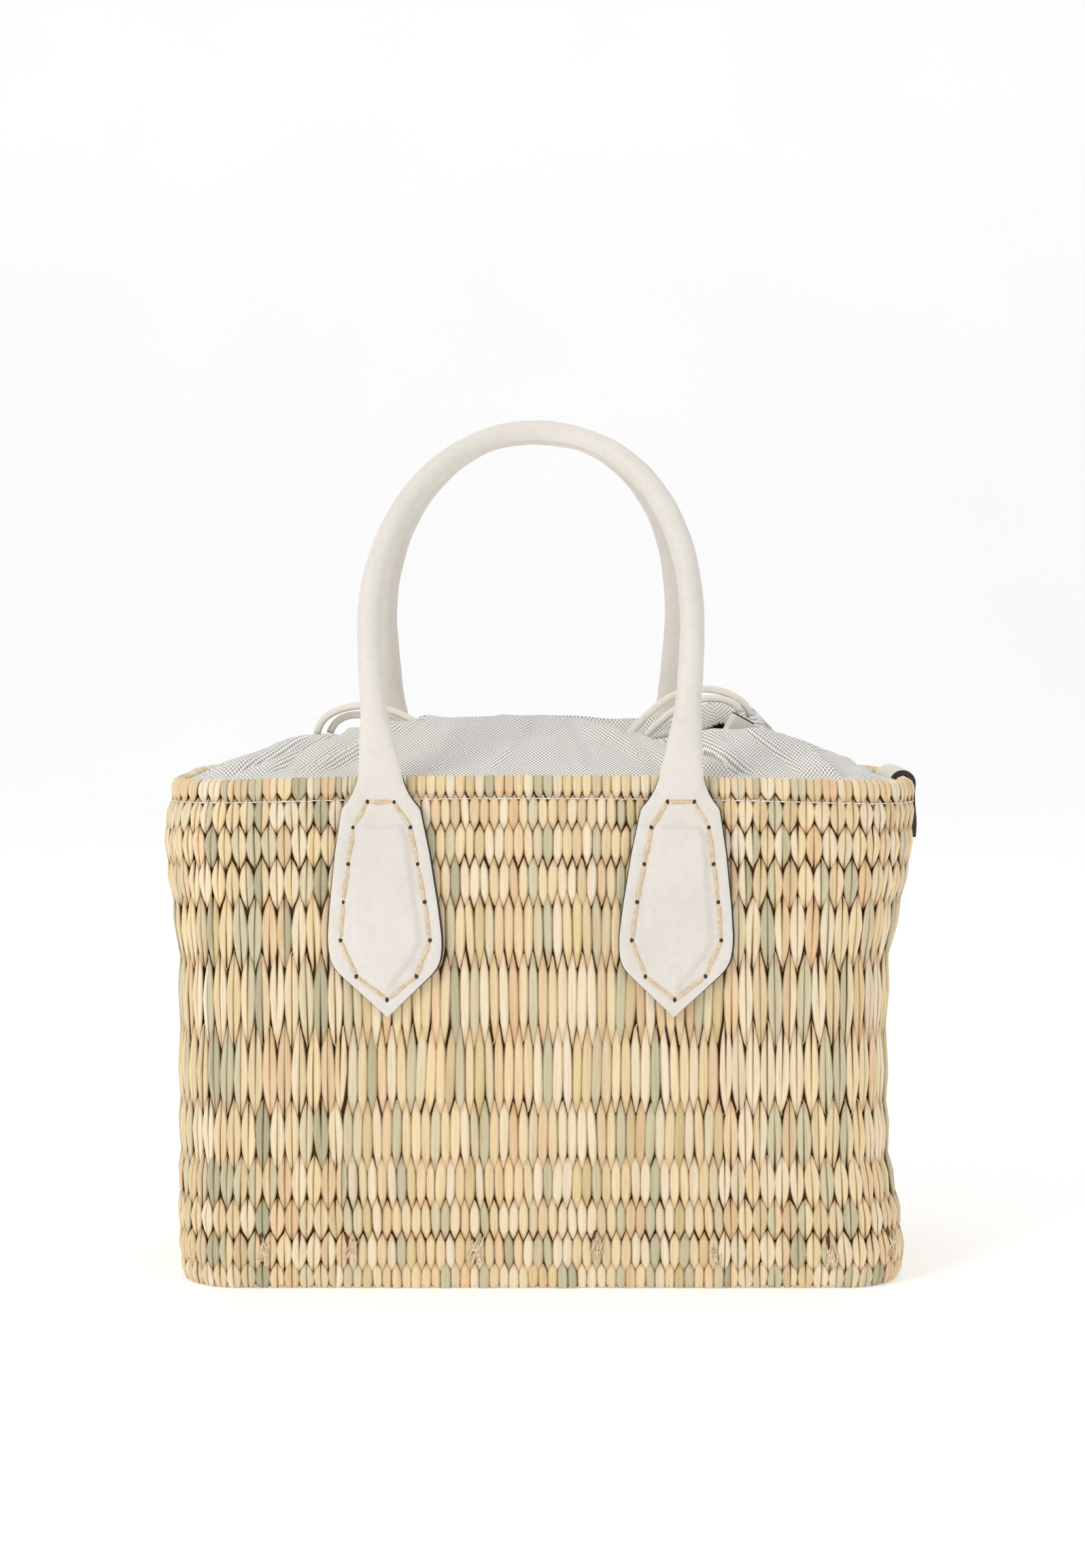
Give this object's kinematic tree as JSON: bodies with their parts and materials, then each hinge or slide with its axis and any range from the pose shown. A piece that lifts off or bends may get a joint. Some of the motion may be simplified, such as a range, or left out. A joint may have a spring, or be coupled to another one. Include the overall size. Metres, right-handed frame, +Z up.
{
  "type": "straw basket bag",
  "caption": "Rectangular woven straw basket bag with rolled leather handles on pointed tabs, a canvas drawstring cover and a leather side tab.",
  "frame": {"origin": "on the underside of the base, below the middle of the two handles", "axes": "+Z up, +X to the right as seen from the front, the front faces -Y"},
  "size_m": [0.3281, 0.1576, 0.3709],
  "materials": {
    "straw": "dried flattened straw, satin",
    "straw_rim": "dried flattened straw, satin",
    "canvas": "two-tone basket-weave canvas, matt",
    "handle_leather": "fine grained, soft sheen",
    "trim_leather": "smooth, soft sheen, black painted edges",
    "string_leather": "smooth, soft sheen"
  },
  "bodies": {
    "root": {"basket_body": "straw", "basket_rim": "straw_rim", "canvas_cover": "canvas", "handle_front": "handle_leather", "handle_back": "handle_leather", "side_tab": "trim_leather", "string_right_upper": "string_leather", "string_right_lower": "string_leather", "string_left_upper": "string_leather", "string_left_lower": "string_leather", "string_end_right": "trim_leather", "string_end_left": "trim_leather"}
  },
  "joints": []
}
